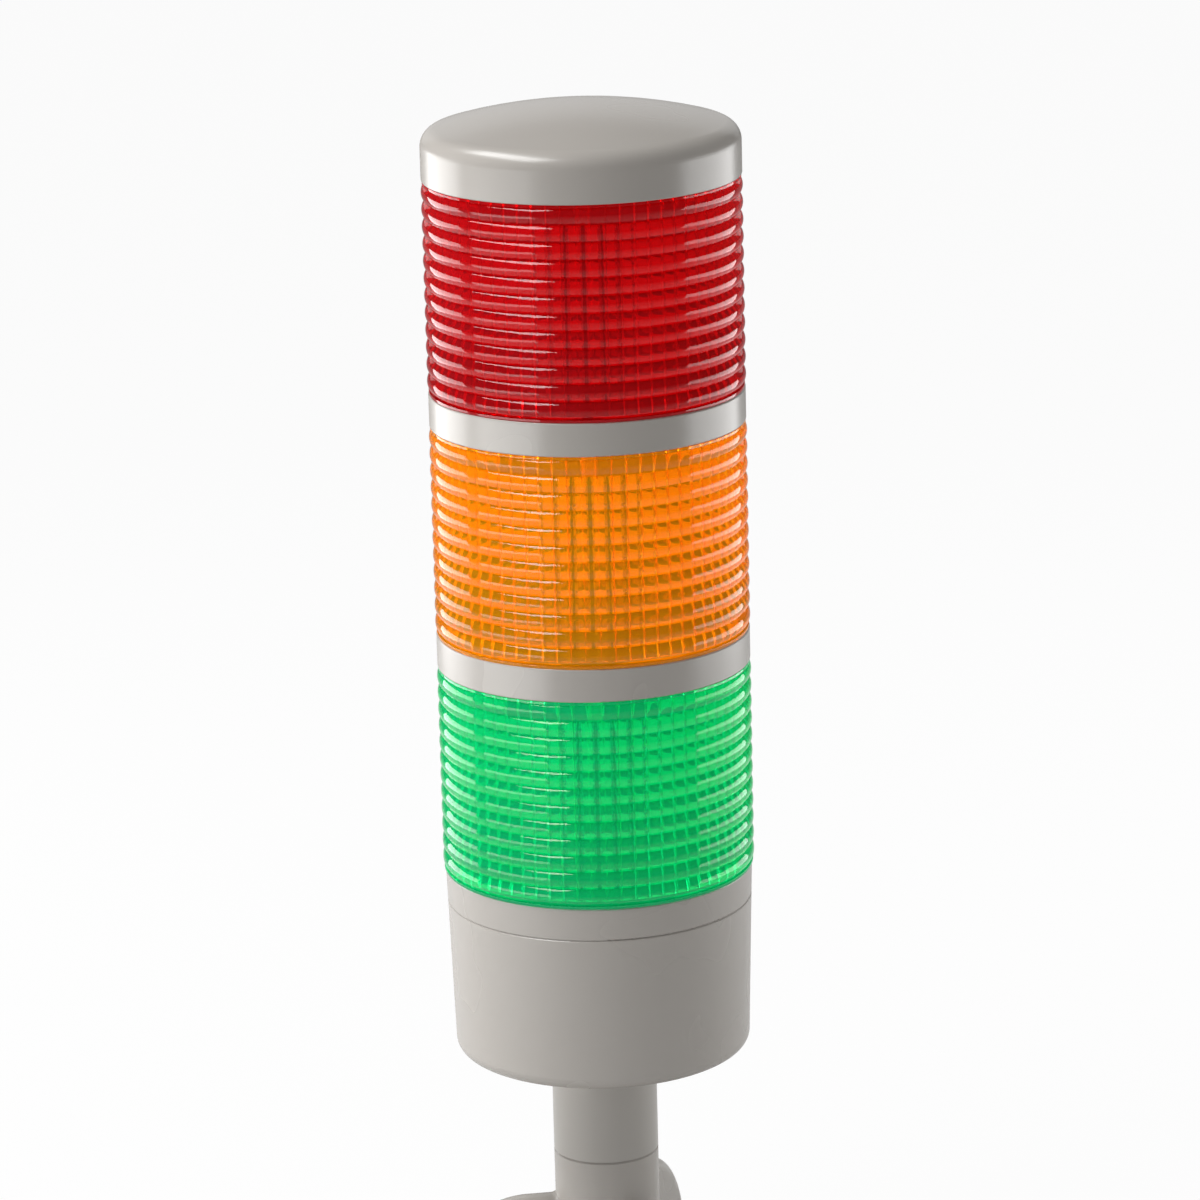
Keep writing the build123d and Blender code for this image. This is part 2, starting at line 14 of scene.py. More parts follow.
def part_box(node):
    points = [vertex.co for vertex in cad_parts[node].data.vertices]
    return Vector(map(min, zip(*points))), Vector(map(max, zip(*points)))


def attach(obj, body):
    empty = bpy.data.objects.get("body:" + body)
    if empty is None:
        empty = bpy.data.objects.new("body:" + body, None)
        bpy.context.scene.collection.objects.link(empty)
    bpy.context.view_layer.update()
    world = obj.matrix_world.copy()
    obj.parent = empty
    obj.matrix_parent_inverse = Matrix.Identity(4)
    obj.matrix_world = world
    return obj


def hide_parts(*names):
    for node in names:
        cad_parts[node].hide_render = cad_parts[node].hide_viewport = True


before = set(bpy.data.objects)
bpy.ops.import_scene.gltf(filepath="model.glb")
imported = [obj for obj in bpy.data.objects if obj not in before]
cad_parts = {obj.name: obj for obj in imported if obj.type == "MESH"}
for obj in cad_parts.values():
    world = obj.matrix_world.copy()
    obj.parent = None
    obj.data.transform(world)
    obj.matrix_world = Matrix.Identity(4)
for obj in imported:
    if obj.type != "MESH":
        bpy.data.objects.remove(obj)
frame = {"nodes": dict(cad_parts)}

LOG = logging.getLogger("stack_light")
MM = 0.001
TAU = 2 * math.pi
Colour = tuple[float, float, float]
Factors = tuple[float, float, float]
Point = tuple[float, float]
EVEN: Factors = (1.0, 1.0, 1.0)
WHITE: Colour = (1.0, 1.0, 1.0)


class Tier(Enum):
    """The three lights, named as their nodes are."""

    RED = "red"
    AMBER = "amber"
    GREEN = "green"


class Expr:
    """A number in a node tree, so that shader maths reads as Python."""

    def __init__(self, shader: "Shader", socket: Any) -> None:
        """Keeps the tree and the socket that carries the number."""
        self.shader = shader
        self.socket = socket

    def _math(self, operation: str, first: Any, second: Any = None) -> "Expr":
        """Adds one Math node.

        Args:
            operation: Blender's name of the operation.
            first: left value or expression.
            second: right value or expression, if the operation takes one.

        Returns:
            The result as an expression.
        """
        inputs = {i: v for i, v in enumerate((first, second)) if v is not None}
        return self.shader.number("ShaderNodeMath", {"operation": operation}, inputs)

    def __add__(self, other: Any) -> "Expr":
        """self + other."""
        return self._math("ADD", self, other)

    def __radd__(self, other: Any) -> "Expr":
        """other + self."""
        return self._math("ADD", other, self)

    def __sub__(self, other: Any) -> "Expr":
        """self - other."""
        return self._math("SUBTRACT", self, other)

    def __rsub__(self, other: Any) -> "Expr":
        """other - self."""
        return self._math("SUBTRACT", other, self)

    def __mul__(self, other: Any) -> "Expr":
        """self * other."""
        return self._math("MULTIPLY", self, other)

    def __rmul__(self, other: Any) -> "Expr":
        """other * self."""
        return self._math("MULTIPLY", other, self)

    def __abs__(self) -> "Expr":
        """abs(self)."""
        return self._math("ABSOLUTE", self)

    def larger_of(self, other: Any) -> "Expr":
        """The larger of two numbers."""
        return self._math("MAXIMUM", self, other)

    def root(self) -> "Expr":
        """The square root."""
        return self._math("SQRT", self)

    def spread(self, width: float) -> "Expr":
        """A noise turned into a variation about 0.

        Args:
            width: what the noise's range from 0 to 1 becomes.

        Returns:
            A number about 0.
        """
        return (self - 0.5) * width

    def distance_to_grid(self, pitch: float) -> "Expr":
        """Distance to the nearest multiple of a pitch.

        Args:
            pitch: spacing of the grid.

        Returns:
            A number from 0, on a line of the grid, to half the pitch.
        """
        return self._math("PINGPONG", self, pitch / 2)

    def ramp(self, low: float, high: float) -> "Expr":
        """Eases from 0 at low to 1 at high.

        Args:
            low: where the ramp starts.
            high: where it ends, which may be below low.

        Returns:
            A smooth number from 0 to 1.
        """
        settings = {"interpolation_type": "SMOOTHSTEP", "clamp": True}
        if low < high:
            return self.shader.number("ShaderNodeMapRange", settings, {"Value": self, 1: low, 2: high})
        return 1 - self.ramp(high, low)


class Shader:
    """The node tree of one material or world."""

    def __init__(self, owner: Any) -> None:
        """Empties the owner's node tree and starts on it."""
        owner.use_nodes = True
        self.tree = owner.node_tree
        self.tree.nodes.clear()

    def node(
        self, kind: str, settings: dict[str, Any] | None = None, inputs: dict[Any, Any] | None = None
    ) -> Any:
        """Adds a node.

        Args:
            kind: Blender's type name of the node.
            settings: properties to set before the sockets are filled.
            inputs: values, colours, expressions or sockets, by socket name or index.

        Returns:
            The new node.
        """
        made = self.tree.nodes.new(kind)
        for name, value in (settings or {}).items():
            setattr(made, name, value)
        for key, value in (inputs or {}).items():
            self.feed(made.inputs[key], value)
        return made

    def feed(self, socket: Any, value: Any) -> None:
        """Links or sets one input socket.

        Args:
            socket: the input.
            value: an expression, a socket, a number or a colour.
        """
        if isinstance(value, Expr):
            self.tree.links.new(value.socket, socket)
        elif isinstance(value, bpy.types.NodeSocket):
            self.tree.links.new(value, socket)
        elif isinstance(value, tuple) and len(value) == 3 and socket.type == "RGBA":
            socket.default_value = (*value, 1.0)
        else:
            socket.default_value = value

    def number(
        self, kind: str, settings: dict[str, Any] | None = None, inputs: dict[Any, Any] | None = None
    ) -> Expr:
        """Adds a node and wraps its first enabled output as a number.

        Args:
            kind: Blender's type name of the node.
            settings: properties to set before the sockets are filled.
            inputs: what its sockets get.

        Returns:
            The output as an expression.
        """
        made = self.node(kind, settings, inputs)
        return Expr(self, next(o for o in made.outputs if o.enabled))

    def place(self) -> Any:
        """The Object coordinates, as a socket."""
        return self.node("ShaderNodeTexCoord").outputs["Object"]

    def axes(self) -> tuple[Expr, Expr, Expr]:
        """The Object coordinates in metres, as three numbers."""
        split = self.node("ShaderNodeSeparateXYZ", inputs={0: self.place()})
        return tuple(Expr(self, out) for out in split.outputs)

    def noise(
        self, scale: float, detail: float = 3.0, stretch: Factors = EVEN, shift: float = 0.0
    ) -> Expr:
        """Smooth noise on the Object coordinates.

        Args:
            scale: features per metre.
            detail: octaves.
            stretch: factors on the axes.
            shift: offset that tells one noise from another.

        Returns:
            A number about 0.5.
        """
        mapping = self.node(
            "ShaderNodeMapping",
            inputs={"Vector": self.place(), "Scale": stretch, "Location": (shift, shift, shift)},
        )
        inputs = {"Vector": mapping.outputs[0], "Scale": scale, "Detail": detail}
        return self.number("ShaderNodeTexNoise", None, inputs)

    def rays(self, *kinds: str) -> list[Expr]:
        """Tells the kinds of ray apart.

        Args:
            kinds: Blender's names, such as Camera.

        Returns:
            For each kind, 1 where the ray is of it, else 0.
        """
        light = self.node("ShaderNodeLightPath").outputs
        return [Expr(self, light[f"Is {kind} Ray"]) for kind in kinds]

    def mix(self, factor: Any, first: Any, second: Any) -> Any:
        """Mixes two colours.

        Args:
            factor: 0 for the first, 1 for the second.
            first: colour or socket.
            second: colour or socket.

        Returns:
            The mixed colour's socket.
        """
        made = self.node("ShaderNodeMix", {"data_type": "RGBA"}, {0: factor, 6: first, 7: second})
        return made.outputs[2]

    def bump(self, height: Expr, distance: float) -> Any:
        """A normal from a height.

        Args:
            height: the height, as a number from 0 to 1.
            distance: what 1 stands for, in metres.

        Returns:
            The normal's socket.
        """
        inputs = {"Height": height, "Distance": distance, "Strength": 1.0}
        return self.node("ShaderNodeBump", inputs=inputs).outputs[0]

    def surface(self, inputs: dict[str, Any], depth: dict[str, Any] | None = None) -> None:
        """Adds a Principled shader and the output.

        Args:
            inputs: values of the Principled shader's sockets.
            depth: colour and density of what tints the light all through, if anything does.
        """
        ends = {"Surface": self.node("ShaderNodeBsdfPrincipled", inputs=inputs).outputs[0]}
        if depth:
            ends["Volume"] = self.node("ShaderNodeVolumeAbsorption", inputs=depth).outputs[0]
        self.node("ShaderNodeOutputMaterial", inputs=ends)


def new_material(name: str, plain: Colour) -> tuple[bpy.types.Material, Shader]:
    """Makes a material and its shader.

    Args:
        name: name of the finish.
        plain: its colour in solid views.

    Returns:
        The material and the wrapped node tree.
    """
    made = bpy.data.materials.new(name)
    shader = Shader(made)
    made.diffuse_color = (*plain, 1.0)
    return made, shader


def shade(colour: Colour, factor: float) -> Colour:
    """Makes a colour darker or lighter.

    Args:
        colour: where it starts.
        factor: below 1 for darker, above 1 for lighter.

    Returns:
        The new colour.
    """
    return tuple(c * factor for c in colour)


@dataclass(frozen=True)
class MouldedPlastic:
    """Semi-gloss moulded plastic or paint with faint cloudiness and a fine grain."""

    name: str
    colour: Colour
    roughness: float = 0.27
    roughness_spread: float = 0.04
    cloud_scale: float = 45.0
    cloud_depth: float = 0.025
    grain_scale: float = 2600.0
    grain_share: float = 0.6
    wave_scale: float = 230.0
    wave_share: float = 0.4
    grain_height: float = 0.000004
    coat: float = 0.0
    coat_roughness: float = 0.12
    ior: float = 1.5

    def make(self) -> bpy.types.Material:
        """Builds the material.

        Returns:
            The material.
        """
        made, shader = new_material(self.name, self.colour)
        cloud = shader.noise(self.cloud_scale, detail=2.0)
        deep = shade(self.colour, 1 - self.cloud_depth)
        light = shade(self.colour, 1 + self.cloud_depth / 2)
        grain = shader.noise(self.grain_scale, detail=2.0, shift=1.3)
        wave = shader.noise(self.wave_scale, detail=1.0, shift=5.9)
        height = grain * self.grain_share + wave * self.wave_share
        shader.surface(
            {
                "Base Color": shader.mix(cloud, deep, light),
                "Roughness": self.roughness + cloud.spread(self.roughness_spread),
                "Coat Weight": self.coat,
                "Coat Roughness": self.coat_roughness,
                "IOR": self.ior,
                "Normal": shader.bump(height, self.grain_height),
            }
        )
        return made


@dataclass(frozen=True)
class TintedLens:
    """Clear plastic tinted all through, glossy, with flow streaks.

    Its faint glow is painted light, an emission standing for the daylight that such plastic scatters inside;
    its low index stands for that daylight too.
    """

    name: str
    tint: Colour
    streak_tint: Colour
    depth_colour: Colour
    depth_density: float
    # Painted light: emission colour that makes the lens glow faintly, though it is no lamp.
    painted_glow: Colour
    clearness: float = 0.86
    roughness: float = 0.04
    roughness_spread: float = 0.03
    streak_scale: float = 90.0
    streak_stretch: Factors = (1.0, 1.0, 0.2)
    streak_low: float = 0.35
    streak_high: float = 0.7
    ripple_scale: float = 420.0
    ripple_stretch: Factors = (1.0, 1.0, 0.5)
    ripple_height: float = 0.000008
    ior: float = 1.38

    def make(self) -> bpy.types.Material:
        """Builds the material.

        Returns:
            The material.
        """
        made, shader = new_material(self.name, self.tint)
        streak = shader.noise(self.streak_scale, stretch=self.streak_stretch)
        colour = shader.mix(streak.ramp(self.streak_low, self.streak_high), self.tint, self.streak_tint)
        ripple = shader.noise(self.ripple_scale, detail=2.0, stretch=self.ripple_stretch, shift=2.2)
        inputs = {
            "Base Color": colour,
            "Roughness": self.roughness + streak.spread(self.roughness_spread),
            "IOR": self.ior,
            "Transmission Weight": self.clearness,
            # Painted light: a faint emission of the tint that lifts the lens's shaded parts.
            "Emission Color": self.painted_glow,
            "Emission Strength": 1.0,
            "Normal": shader.bump(ripple, self.ripple_height),
        }
        depth = {"Color": self.depth_colour, "Density": self.depth_density}
        shader.surface(inputs, depth)
        return made


@dataclass(frozen=True)
class SealRubber:
    """Soft black rubber with a dusty bloom."""

    name: str = "seal_rubber"
    colour: Colour = (0.030, 0.030, 0.032)
    bloom: Colour = (0.085, 0.083, 0.080)
    bloom_low: float = 0.45
    bloom_high: float = 0.8
    dust_scale: float = 320.0
    roughness: float = 0.62
    roughness_spread: float = 0.2
    grain_scale: float = 1900.0
    grain_height: float = 0.00001

    def make(self) -> bpy.types.Material:
        """Builds the material.

        Returns:
            The material.
        """
        made, shader = new_material(self.name, self.colour)
        dust = shader.noise(self.dust_scale, detail=4.0)
        shader.surface(
            {
                "Base Color": shader.mix(dust.ramp(self.bloom_low, self.bloom_high), self.colour, self.bloom),
                "Roughness": self.roughness + dust.spread(self.roughness_spread),
                "Normal": shader.bump(shader.noise(self.grain_scale), self.grain_height),
            }
        )
        return made


@dataclass(frozen=True)
class CircuitBoard:
    """Green solder mask over tracks, with bare copper rings near the axis and a woven grain."""

    name: str = "circuit_board"
    mask: Colour = (0.045, 0.26, 0.075)
    over_copper: Colour = (0.07, 0.34, 0.11)
    pad: Colour = (0.72, 0.52, 0.24)
    ring_pitch: float = 0.0018
    ring_width: float = 0.0011
    ring_edge: float = 0.00012
    rings_radius: float = 0.0095
    rings_edge: float = 0.0002
    lane_pitch: float = 0.0024
    lane_slope: float = 0.5
    lane_outside: float = 0.0004
    lane_inside: float = 0.0003
    cell_scale: float = 150.0
    cell_low: float = 0.47
    cell_high: float = 0.49
    weave_scale: float = 900.0
    weave_stretch: Factors = (1.0, 0.2, 1.0)
    weave_share: float = 0.1
    copper_share: float = 0.5
    copper_height: float = 0.000035
    roughness: float = 0.34
    roughness_spread: float = 0.08
    ring_polish: float = 0.06

    def make(self) -> bpy.types.Material:
        """Builds the material.

        Returns:
            The material.
        """
        made, shader = new_material(self.name, self.mask)
        x, y, z = shader.axes()
        radius = (x * x + y * y).root()
        half = self.ring_width / 2
        ring = radius.distance_to_grid(self.ring_pitch).ramp(half, half - self.ring_edge)
        near_axis = radius.ramp(self.rings_radius, self.rings_radius - self.rings_edge)
        bare = ring * near_axis
        lane = (y + z * self.lane_slope).distance_to_grid(self.lane_pitch)
        lane = lane.ramp(self.lane_outside, self.lane_inside)
        cell = shader.noise(self.cell_scale, detail=0.0).ramp(self.cell_low, self.cell_high)
        tracks = lane * cell * (1 - near_axis)
        weave = shader.noise(self.weave_scale, detail=2.0, stretch=self.weave_stretch)
        colour = shader.mix(tracks, self.mask, self.over_copper)
        height = tracks * self.copper_share + bare * self.copper_share + weave * self.weave_share
        shader.surface(
            {
                "Base Color": shader.mix(bare, colour, self.pad),
                "Roughness": self.roughness - bare * self.ring_polish + weave.spread(self.roughness_spread),
                "Metallic": bare,
                "Normal": shader.bump(height, self.copper_height),
            }
        )
        return made


@dataclass(frozen=True)
class LedResin:
    """White frame with a round well of yellow phosphor on each emitter."""

    name: str = "led_body"
    frame: Colour = (0.80, 0.79, 0.75)
    frame_shade: float = 0.86
    resin: Colour = (0.86, 0.66, 0.10)
    tone_scale: float = 500.0
    well_radius: float = 0.0019
    well_edge: float = 0.00015
    well_share: float = 0.6
    well_polish: float = 0.25
    rim_outside: float = 0.0002
    rim_inside: float = 0.00005
    rim_share: float = 0.4
    relief: float = 0.0002
    roughness: float = 0.42
    column_pitch: float = 0.008
    row_count: int = 4
    emitter_size: float = 0.005

    def make_for(self, low: float, high: float) -> bpy.types.Material:
        """Builds the material for one board.

        Args:
            low: height of the lowest emitter's lower edge, in metres.
            high: height of the highest emitter's upper edge.

        Returns:
            The material, with its wells on that board's emitters.
        """
        middle = (low + high) / 2
        row_pitch = (high - low - self.emitter_size) / (self.row_count - 1)
        made, shader = new_material(f"{self.name}_{round(middle / MM)}", self.frame)
        _, y, z = shader.axes()
        across = (y - self.column_pitch / 2).distance_to_grid(self.column_pitch)
        up = (z - middle - row_pitch / 2).distance_to_grid(row_pitch)
        radius = (across * across + up * up).root()
        well = radius.ramp(self.well_radius, self.well_radius - self.well_edge)
        rim = abs(radius - self.well_radius).ramp(self.rim_outside, self.rim_inside)
        tone = shader.noise(self.tone_scale, detail=2.0)
        frame_tone = shader.mix(tone, self.frame, shade(self.frame, self.frame_shade))
        height = 1 - well * self.well_share + rim * self.rim_share
        shader.surface(
            {
                "Base Color": shader.mix(well, frame_tone, self.resin),
                "Roughness": self.roughness - well * self.well_polish,
                "Normal": shader.bump(height, self.relief),
            }
        )
        return made


@dataclass(frozen=True)
class Metal:
    """Plated or plain metal with fine drawn lines and light tarnish."""

    name: str
    colour: Colour
    tarnish: Colour
    tarnish_scale: float = 260.0
    tarnish_low: float = 0.4
    tarnish_high: float = 0.75
    tarnish_spread: float = 0.1
    roughness: float = 0.3
    line_scale: float = 1500.0
    line_stretch: Factors = (1.0, 1.0, 0.08)
    line_spread: float = 0.2
    line_height: float = 0.000006

    def make(self) -> bpy.types.Material:
        """Builds the material.

        Returns:
            The material.
        """
        made, shader = new_material(self.name, self.colour)
        lines = shader.noise(self.line_scale, stretch=self.line_stretch)
        tone = shader.noise(self.tarnish_scale, detail=4.0, shift=4.4)
        dulled = tone.ramp(self.tarnish_low, self.tarnish_high)
        spread = lines.spread(self.line_spread)
        shader.surface(
            {
                "Base Color": shader.mix(dulled, self.colour, self.tarnish),
                "Metallic": 1.0,
                "Roughness": self.roughness + spread + tone.spread(self.tarnish_spread),
                "Normal": shader.bump(lines, self.line_height),
            }
        )
        return made


@dataclass(frozen=True)
class Finishes:
    """Every finish of the lamp, in one place."""

    housing: MouldedPlastic = MouldedPlastic("grey_housing", (0.375, 0.352, 0.325))
    pipe: MouldedPlastic = MouldedPlastic("painted_pipe", (0.365, 0.345, 0.318), roughness=0.30, coat=0.2)
    rubber: SealRubber = SealRubber()
    board: CircuitBoard = CircuitBoard()
    led: LedResin = LedResin()
    brass: Metal = Metal("contact_brass", (0.78, 0.56, 0.25), (0.52, 0.35, 0.16))
    zinc: Metal = Metal("zinc_steel", (0.66, 0.67, 0.68), (0.48, 0.48, 0.47), roughness=0.34)
    terminal: MouldedPlastic = MouldedPlastic("terminal_plastic", (0.035, 0.038, 0.042), roughness=0.42)
    # Each lens's painted_glow is painted light, a faint emission standing for light scattered inside.
    lenses: dict[Tier, TintedLens] = field(
        default_factory=lambda: {
            Tier.RED: TintedLens(
                name="red_lens",
                tint=(0.79, 0.015, 0.03),
                streak_tint=(0.75, 0.01, 0.02),
                depth_colour=(0.949, 0.018, 0.368),
                depth_density=860.0,
                painted_glow=(0.062, 0.0, 0.0),
            ),
            Tier.AMBER: TintedLens(
                name="amber_lens",
                tint=(0.94, 0.57, 0.015),
                streak_tint=(0.92, 0.53, 0.01),
                depth_colour=(0.982, 0.824, 0.007),
                depth_density=480.0,
                painted_glow=(0.105, 0.036, 0.0),
            ),
            Tier.GREEN: TintedLens(
                name="green_lens",
                tint=(0.02, 0.81, 0.46),
                streak_tint=(0.015, 0.77, 0.42),
                depth_colour=(0.006, 0.918, 0.75),
                depth_density=540.0,
                painted_glow=(0.0, 0.09, 0.03),
            ),
        }
    )


class Solid:
    """A closed mesh under construction, in metres, at its place in the frame."""

    def __init__(self) -> None:
        """Starts on an empty mesh."""
        self.bm = bmesh.new()

    def outline(self, points: Sequence[Point]) -> list[Any]:
        """Adds a closed outline in the upright plane through the axis.

        Args:
            points: radius and height of each corner, in order.

        Returns:
            The outline's vertices and edges.
        """
        corners = [self.bm.verts.new((r, 0.0, z)) for r, z in points]
        edges = [self.bm.edges.new(pair) for pair in zip(corners, corners[1:] + corners[:1])]
        return corners + edges

    def turn(self, points: Sequence[Point], steps: int, start: float = 0.0, sweep: float = TAU) -> "Solid":
        """Spins an outline round the axis.

        Args:
            points: radius and height of each corner, in order round the outline.
            steps: number of facets.
            start: angle at which the spin starts, in radians.
            sweep: how far it goes.

        Returns:
            The same solid, for the next step.
        """
        whole = sweep >= TAU
        geometry = self.outline(points)
        corners = [g for g in geometry if isinstance(g, bmesh.types.BMVert)]
        if not whole:
            geometry.append(self.bm.faces.new(corners))
        bmesh.ops.rotate(self.bm, verts=corners, cent=(0, 0, 0), matrix=Matrix.Rotation(start, 3, "Z"))
        bmesh.ops.spin(
            self.bm,
            geom=geometry,
            cent=(0, 0, 0),
            axis=(0, 0, 1),
            dvec=(0, 0, 0),
            angle=sweep,
            steps=steps,
            use_merge=whole,
            use_duplicate=False,
        )
        return self

    def finish(self, name: str, smooth_angle: float = 28.0, merge_distance: float = 1e-7) -> bpy.types.Object:
        """Closes the mesh, turns its faces outwards and shades it.

        Args:
            name: name of the piece.
            smooth_angle: edges sharper than this stay sharp, in degrees.
            merge_distance: vertices closer than this become one.

        Returns:
            The new object, at the origin.
        """
        bmesh.ops.remove_doubles(self.bm, verts=self.bm.verts, dist=merge_distance)
        bmesh.ops.recalc_face_normals(self.bm, faces=self.bm.faces)
        limit = math.radians(smooth_angle)
        for face in self.bm.faces:
            face.smooth = True
        for edge in self.bm.edges:
            edge.smooth = len(edge.link_faces) == 2 and edge.calc_face_angle(0.0) < limit
        mesh = bpy.data.meshes.new(name)
        self.bm.to_mesh(mesh)
        self.bm.free()
        made = bpy.data.objects.new(name, mesh)
        bpy.context.collection.objects.link(made)
        LOG.info("%s: %d faces", name, len(mesh.polygons))
        return made


def arc(centre: Point, radius: float, start: float, end: float, count: int) -> list[Point]:
    """Points of an arc.

    Args:
        centre: its centre, as radius and height.
        radius: its own radius.
        start: first angle, in degrees from outwards towards up.
        end: last angle.
        count: number of steps.

    Returns:
        count + 1 points.
    """
    turns = [math.radians(start + (end - start) * i / count) for i in range(count + 1)]
    return [(centre[0] + radius * math.cos(t), centre[1] + radius * math.sin(t)) for t in turns]


def place_piece(piece: bpy.types.Object, body: str, slot: str, material: Any, *nodes: str) -> None:
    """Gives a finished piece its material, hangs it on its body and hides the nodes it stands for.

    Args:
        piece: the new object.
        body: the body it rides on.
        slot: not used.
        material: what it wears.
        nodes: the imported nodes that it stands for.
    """
    piece.data.materials.append(material)
    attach(piece, body)
    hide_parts(*nodes)


@dataclass
class LensShell:
    """One lens: ring beads outside, upright flutes inside, a tongue below and ledges above."""

    tier: Tier
    bead_count: int = 12
    bead_pitch: float = 2.73 * MM
    bead_depth: float = 0.65 * MM
    bottom_lip: float = 0.49 * MM
    lip_inset: float = 0.20 * MM
    lip_edge: float = 0.12 * MM
    lower_lip_start: float = -60.0
    lower_lip_steps: int = 2
    upper_lip_steps: int = 3
    wall: float = 2.05 * MM
    tongue_width: float = 1.0 * MM
    tongue_depth: float = 1.2 * MM
    plain_band: float = 1.0 * MM
    flute_count: int = 64
    flute_inset: float = 0.15 * MM
    flute_depth: float = 0.50 * MM
    steps_per_flute: int = 8
    steps_per_bead: int = 10
    lug_count: int = 3
    ledge_reach: float = 1.0 * MM
    ledge_drop: float = 0.3 * MM
    ledge_thickness: float = 1.2 * MM
    ledge_depth: float = 3.05 * MM
    ledge_gap: float = 0.05 * MM
    ledge_angle: float = 22.4
    ledge_start: float = -11.7
    ledge_step: float = 1.5
    stop_angle: float = 3.0
    open_stop: float = 28.7
    ledge_edge: float = 0.12 * MM

    def __post_init__(self) -> None:
        """Takes the place and the outer radius from the frame."""
        low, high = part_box(f"{self.tier.value}_lens")
        self.crest = (high[0] - low[0]) / 2
        self.base = low[2] + self.tongue_depth
        self.top = high[2]
        self.root = self.crest - self.bead_depth
        self.bore = self.root - self.wall
        self.valley = self.bore - self.flute_inset
        self.flute_crest = self.valley - self.flute_depth
        half = math.pi / self.flute_count
        self.flute_centre = (self.valley**2 - self.flute_crest**2) / (
            2 * (self.valley * math.cos(half) - self.flute_crest)
        )
        self.flute_radius = self.flute_centre - self.flute_crest

    def bead(self, low: float) -> list[Point]:
        """One bead's arc.

        Args:
            low: height of its lower cusp.

        Returns:
            Its points, without the upper cusp.
        """
        half = self.bead_pitch / 2
        radius = (half**2 + self.bead_depth**2) / (2 * self.bead_depth)
        reach = math.degrees(math.asin(half / radius))
        centre = (self.crest - radius, low + half)
        return arc(centre, radius, -reach, reach, self.steps_per_bead)[:-1]

    def section(self) -> list[Point]:
        """The lens's outline, from the tongue up the outside and down the bore.

        Returns:
            Radius and height of each corner.
        """
        lip = self.crest - self.lip_inset
        lip_centre = lip - self.lip_edge
        beads_base = self.base + self.bottom_lip
        beads_top = beads_base + self.bead_count * self.bead_pitch
        tongue = self.bore + self.tongue_width
        lower = (lip_centre, self.base + self.lip_edge)
        upper = (lip_centre, self.top - self.lip_edge)
        points = [(self.bore, self.base - self.tongue_depth), (tongue, self.base - self.tongue_depth)]
        points += [(tongue, self.base), (lip_centre, self.base)]
        points += arc(lower, self.lip_edge, self.lower_lip_start, 0, self.lower_lip_steps)
        points += [(lip, beads_base)]
        for i in range(self.bead_count):
            points += self.bead(beads_base + i * self.bead_pitch)
        points += [(self.root, beads_top), (lip, beads_top)]
        points += arc(upper, self.lip_edge, 0, 90, self.upper_lip_steps)
        points += [(self.valley, self.top), (self.valley, self.base + self.plain_band)]
        points += [(self.bore, self.base + self.plain_band)]
        return points

    def flute(self, bm: bmesh.types.BMesh) -> None:
        """Draws the bore's vertices in to the flutes.

        Args:
            bm: the spun lens.
        """
        pitch = TAU / self.flute_count
        edge = (self.valley + self.bore) / 2
        for vert in bm.verts:
            radius = math.hypot(vert.co.x, vert.co.y)
            if radius > edge or vert.co.z < self.base:
                continue
            angle = math.atan2(vert.co.y, vert.co.x)
            offset = (angle + pitch / 2) % pitch - pitch / 2
            side = self.flute_centre * math.sin(offset)
            inner = self.flute_centre * math.cos(offset) - math.sqrt(self.flute_radius**2 - side**2)
            vert.co.x *= inner / radius
            vert.co.y *= inner / radius

    def add_ledge(self, solid: Solid, low: float, start: float, sweep: float) -> None:
        """Adds one block of the bayonet's ring.

        Args:
            solid: the mesh it goes to.
            low: its lower height.
            start: angle of its first end, in degrees.
            sweep: its length, in degrees.
        """
        high = self.top - self.ledge_drop
        outer = self.flute_crest - self.ledge_gap
        inner = outer - self.ledge_reach
        edge = self.ledge_edge
        points = [(outer, low), (outer, high), (inner + edge, high)]
        points += [(inner, high - edge), (inner, low + edge), (inner + edge, low)]
        steps = max(2, round(sweep / self.ledge_step))
        solid.turn(points, steps, math.radians(start), math.radians(sweep))

    def build(self, finishes: Finishes) -> None:
        """Makes the lens and dresses it.

        Args:
            finishes: where its finish comes from.
        """
        solid = Solid().turn(self.section(), self.flute_count * self.steps_per_flute)
        self.flute(solid.bm)
        ledge_low = self.top - self.ledge_drop - self.ledge_thickness
        stop_low = self.top - self.ledge_depth
        for i in range(self.lug_count):
            bearing = i * 360 / self.lug_count
            self.add_ledge(solid, ledge_low, bearing + self.ledge_start, self.ledge_angle)
            self.add_ledge(solid, stop_low, bearing + self.open_stop, self.stop_angle)
        name = f"{self.tier.value}_lens"
        piece = solid.finish(f"{name}_shell")
        place_piece(piece, f"{self.tier.value}_tier", name, finishes.lenses[self.tier].make(), name)


def dress(node: str, material: bpy.types.Material) -> None:
    """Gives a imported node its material.

    Args:
        node: the node's name.
        material: what it wears.
    """
    shown = frame["nodes"][node]
    shown.data.materials.clear()
    shown.data.materials.append(material)
    LOG.info("%s wears %s", node, material.name)


